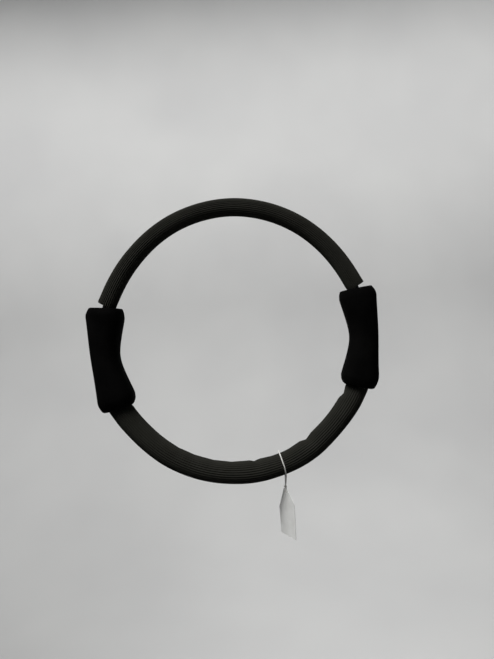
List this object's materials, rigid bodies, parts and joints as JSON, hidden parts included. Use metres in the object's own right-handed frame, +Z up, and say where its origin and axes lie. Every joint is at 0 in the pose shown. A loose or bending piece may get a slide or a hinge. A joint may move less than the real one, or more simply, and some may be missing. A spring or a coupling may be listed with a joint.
{
  "type": "exercise resistance ring",
  "caption": "Flexible exercise ring of spring steel bands under ribbed foam sleeves, with two waisted foam grips and a blank swing tag on a string.",
  "frame": {"origin": "hang point: the middle of the upper sleeve's inner underside, where a peg bears", "axes": "+Z up, +X from the left grip to the right grip as seen from the front, +Y away from the front along the ring's axis"},
  "size_m": [0.3758, 0.049, 0.4391],
  "materials": {
    "sleeve_foam": "matte",
    "grip_foam": "matte",
    "sheath": "satin",
    "spring_steel": "satin",
    "core": "matte",
    "zinc": "satin",
    "string": "matte",
    "card": "matte"
  },
  "bodies": {
    "upper_arc": {"upper_foam_sleeve": "sleeve_foam", "upper_band_sheath": "sheath", "upper_band": "spring_steel"},
    "left_grip": {"left_grip_foam": "grip_foam", "left_core_inner": "core", "left_core_outer": "core", "left_band_rivets": "zinc", "left_core_screws": "zinc"},
    "right_grip": {"right_grip_foam": "grip_foam", "right_core_inner": "core", "right_core_outer": "core", "right_band_rivets": "zinc", "right_core_screws": "zinc"},
    "lower_sleeve": {"lower_foam_sleeve": "sleeve_foam"},
    "lower_band_arc": {"lower_band_sheath": "sheath", "lower_band": "spring_steel"},
    "tag_loop": {"tag_string": "string", "tag_knot": "string"},
    "tag_card": {"tag_card": "card"}
  },
  "joints": [
    {"name": "squeeze_left", "type": "slide", "parent": "upper_arc", "child": "left_grip", "axis": [0.7359, 0, -0.6771], "range_m": [0, 0.04], "stiffness_N_per_m": 3300, "deforming": ["upper_band", "upper_band_sheath", "upper_foam_sleeve"]},
    {"name": "squeeze_right", "type": "slide", "parent": "upper_arc", "child": "right_grip", "axis": [-0.7359, 0, -0.6771], "range_m": [0, 0.04], "deforming": ["upper_band", "upper_band_sheath", "upper_foam_sleeve"]},
    {"name": "lower_sleeve_bend", "type": "slide", "parent": "left_grip", "child": "lower_sleeve", "axis": [-0.7359, 0, -0.6771], "range_m": [0, 0.04], "deforming": ["lower_foam_sleeve"]},
    {"name": "lower_band_bend", "type": "slide", "parent": "right_grip", "child": "lower_band_arc", "axis": [0.7359, 0, -0.6771], "range_m": [0, 0.04], "deforming": ["lower_band_sheath", "lower_band"]},
    {"name": "tag_swing", "type": "hinge", "parent": "lower_sleeve", "child": "tag_loop", "pos_m": [0.04857, 0, -0.32142], "axis": [0.9583, 0, 0.2857], "range_deg": [-60, 60]},
    {"name": "tag_twist", "type": "hinge", "parent": "tag_loop", "child": "tag_card", "pos_m": [0.04963, 0, -0.35157], "axis": [0, 0, 1], "range_deg": [-110, 110], "deforming": ["tag_string"]}
  ],
  "couplings": [
    {"joint": "squeeze_right", "follows": "squeeze_left", "ratio": 1},
    {"joint": "lower_sleeve_bend", "follows": "squeeze_left", "ratio": 1},
    {"joint": "lower_band_bend", "follows": "squeeze_left", "ratio": 1}
  ]
}
